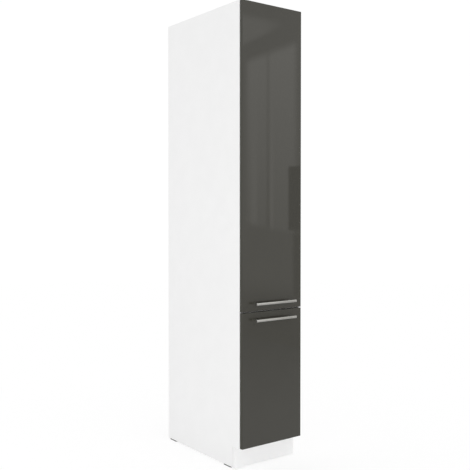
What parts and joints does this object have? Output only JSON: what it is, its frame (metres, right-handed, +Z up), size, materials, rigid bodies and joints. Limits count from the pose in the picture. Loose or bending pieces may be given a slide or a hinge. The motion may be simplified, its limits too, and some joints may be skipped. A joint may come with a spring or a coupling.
{
  "type": "pull out larder unit",
  "caption": "Tall narrow white kitchen cabinet with an upper and a lower gloss front, each drawing out a frame of wire baskets on ball-bearing slides.",
  "frame": {"origin": "on the floor, in the middle of the width and of the depth from the handles to the rear edges of the sides", "axes": "+X to the right of a person facing the fronts, -Y towards that person, +Z up"},
  "size_m": [0.35, 0.656, 2.126],
  "materials": {
    "white_melamine": "white melamine-faced chipboard, fine matt texture, white edge band",
    "white_backing": "white-lacquered thin hardboard",
    "black_plastic": "moulded black plastic",
    "zinc_casting": "bright die-cast zinc",
    "zinc_steel": "bright zinc-plated steel sheet",
    "beech": "raw fluted beech",
    "clear_rubber": "soft pale rubber",
    "grey_gloss_lacquer": "warm dark grey high-gloss lacquer on fibreboard",
    "satin_steel": "satin brushed stainless steel",
    "silver_powder_coat": "silver-grey fine powder coat",
    "chrome_wire": "bright chrome-plated wire",
    "bearing_steel": "polished steel balls in a thin steel cage",
    "white_nylon": "natural white nylon"
  },
  "bodies": {
    "carcass": {"side_panel_left": "white_melamine", "side_panel_right": "white_melamine", "top_panel": "white_melamine", "divider_panel": "white_melamine", "bottom_panel": "white_melamine", "back_panel_upper": "white_backing", "back_panel_lower": "white_backing", "plinth_board": "white_melamine", "floor_glides": "black_plastic", "cam_locks": "zinc_casting", "cam_bolts": "zinc_steel", "wood_dowels": "beech", "back_screws": "zinc_steel", "wall_brackets": "zinc_steel", "front_buffers": "clear_rubber", "upper_slide_base": "zinc_steel", "lower_slide_base": "zinc_steel", "upper_outer_rails": "zinc_steel", "lower_outer_rails": "zinc_steel", "upper_guide_rail": "zinc_steel", "lower_guide_rail": "zinc_steel", "rail_screws": "zinc_steel"},
    "upper_pullout": {"upper_front": "grey_gloss_lacquer", "upper_handle_bar": "satin_steel", "upper_handle_posts": "satin_steel", "upper_carriage": "silver_powder_coat", "upper_inner_rails": "zinc_steel", "upper_front_upright": "silver_powder_coat", "upper_rear_upright": "silver_powder_coat", "upper_top_bar": "silver_powder_coat", "upper_front_brackets": "zinc_steel", "upper_fasteners": "zinc_steel", "upper_basket_1": "chrome_wire", "upper_basket_2": "chrome_wire", "upper_basket_3": "chrome_wire", "upper_basket_4": "chrome_wire"},
    "upper_mid_members": {"upper_mid_rails": "zinc_steel"},
    "upper_outer_cage_pair": {"upper_outer_cages": "bearing_steel"},
    "upper_inner_cage_pair": {"upper_inner_cages": "bearing_steel"},
    "upper_roller_left": {"upper_guide_roller_left": "white_nylon"},
    "upper_roller_right": {"upper_guide_roller_right": "white_nylon"},
    "lower_pullout": {"lower_front": "grey_gloss_lacquer", "lower_handle_bar": "satin_steel", "lower_handle_posts": "satin_steel", "lower_carriage": "silver_powder_coat", "lower_inner_rails": "zinc_steel", "lower_front_upright": "silver_powder_coat", "lower_rear_upright": "silver_powder_coat", "lower_top_bar": "silver_powder_coat", "lower_front_brackets": "zinc_steel", "lower_fasteners": "zinc_steel", "lower_basket_1": "chrome_wire", "lower_basket_2": "chrome_wire"},
    "lower_mid_members": {"lower_mid_rails": "zinc_steel"},
    "lower_outer_cage_pair": {"lower_outer_cages": "bearing_steel"},
    "lower_inner_cage_pair": {"lower_inner_cages": "bearing_steel"},
    "lower_roller_left": {"lower_guide_roller_left": "white_nylon"},
    "lower_roller_right": {"lower_guide_roller_right": "white_nylon"}
  },
  "joints": [
    {"name": "upper_pullout_slide", "type": "slide", "parent": "carcass", "child": "upper_pullout", "axis": [0, -1, 0], "range_m": [0, 0.48]},
    {"name": "upper_mid_members_slide", "type": "slide", "parent": "carcass", "child": "upper_mid_members", "axis": [0, -1, 0], "range_m": [0, 0.24]},
    {"name": "upper_outer_cage_pair_slide", "type": "slide", "parent": "carcass", "child": "upper_outer_cage_pair", "axis": [0, -1, 0], "range_m": [0, 0.12]},
    {"name": "upper_inner_cage_pair_slide", "type": "slide", "parent": "carcass", "child": "upper_inner_cage_pair", "axis": [0, -1, 0], "range_m": [0, 0.36]},
    {"name": "upper_roller_left_spin", "type": "hinge", "parent": "upper_pullout", "child": "upper_roller_left", "pos_m": [-0.00045, 0.263, 2.069], "axis": [0, 0, 1], "continuous": true},
    {"name": "upper_roller_right_spin", "type": "hinge", "parent": "upper_pullout", "child": "upper_roller_right", "pos_m": [0.00045, 0.238, 2.069], "axis": [0, 0, 1], "continuous": true},
    {"name": "lower_pullout_slide", "type": "slide", "parent": "carcass", "child": "lower_pullout", "axis": [0, -1, 0], "range_m": [0, 0.48]},
    {"name": "lower_mid_members_slide", "type": "slide", "parent": "carcass", "child": "lower_mid_members", "axis": [0, -1, 0], "range_m": [0, 0.24]},
    {"name": "lower_outer_cage_pair_slide", "type": "slide", "parent": "carcass", "child": "lower_outer_cage_pair", "axis": [0, -1, 0], "range_m": [0, 0.12]},
    {"name": "lower_inner_cage_pair_slide", "type": "slide", "parent": "carcass", "child": "lower_inner_cage_pair", "axis": [0, -1, 0], "range_m": [0, 0.36]},
    {"name": "lower_roller_left_spin", "type": "hinge", "parent": "lower_pullout", "child": "lower_roller_left", "pos_m": [-0.00045, 0.263, 0.69], "axis": [0, 0, 1], "continuous": true},
    {"name": "lower_roller_right_spin", "type": "hinge", "parent": "lower_pullout", "child": "lower_roller_right", "pos_m": [0.00045, 0.238, 0.69], "axis": [0, 0, 1], "continuous": true}
  ],
  "couplings": [
    {"joint": "upper_mid_members_slide", "follows": "upper_pullout_slide", "ratio": 0.5},
    {"joint": "upper_outer_cage_pair_slide", "follows": "upper_pullout_slide", "ratio": 0.25},
    {"joint": "upper_inner_cage_pair_slide", "follows": "upper_pullout_slide", "ratio": 0.75},
    {"joint": "upper_roller_left_spin", "follows": "upper_pullout_slide", "rad_per_m": -111.11},
    {"joint": "upper_roller_right_spin", "follows": "upper_pullout_slide", "rad_per_m": 111.11},
    {"joint": "lower_mid_members_slide", "follows": "lower_pullout_slide", "ratio": 0.5},
    {"joint": "lower_outer_cage_pair_slide", "follows": "lower_pullout_slide", "ratio": 0.25},
    {"joint": "lower_inner_cage_pair_slide", "follows": "lower_pullout_slide", "ratio": 0.75},
    {"joint": "lower_roller_left_spin", "follows": "lower_pullout_slide", "rad_per_m": -111.11},
    {"joint": "lower_roller_right_spin", "follows": "lower_pullout_slide", "rad_per_m": 111.11}
  ]
}
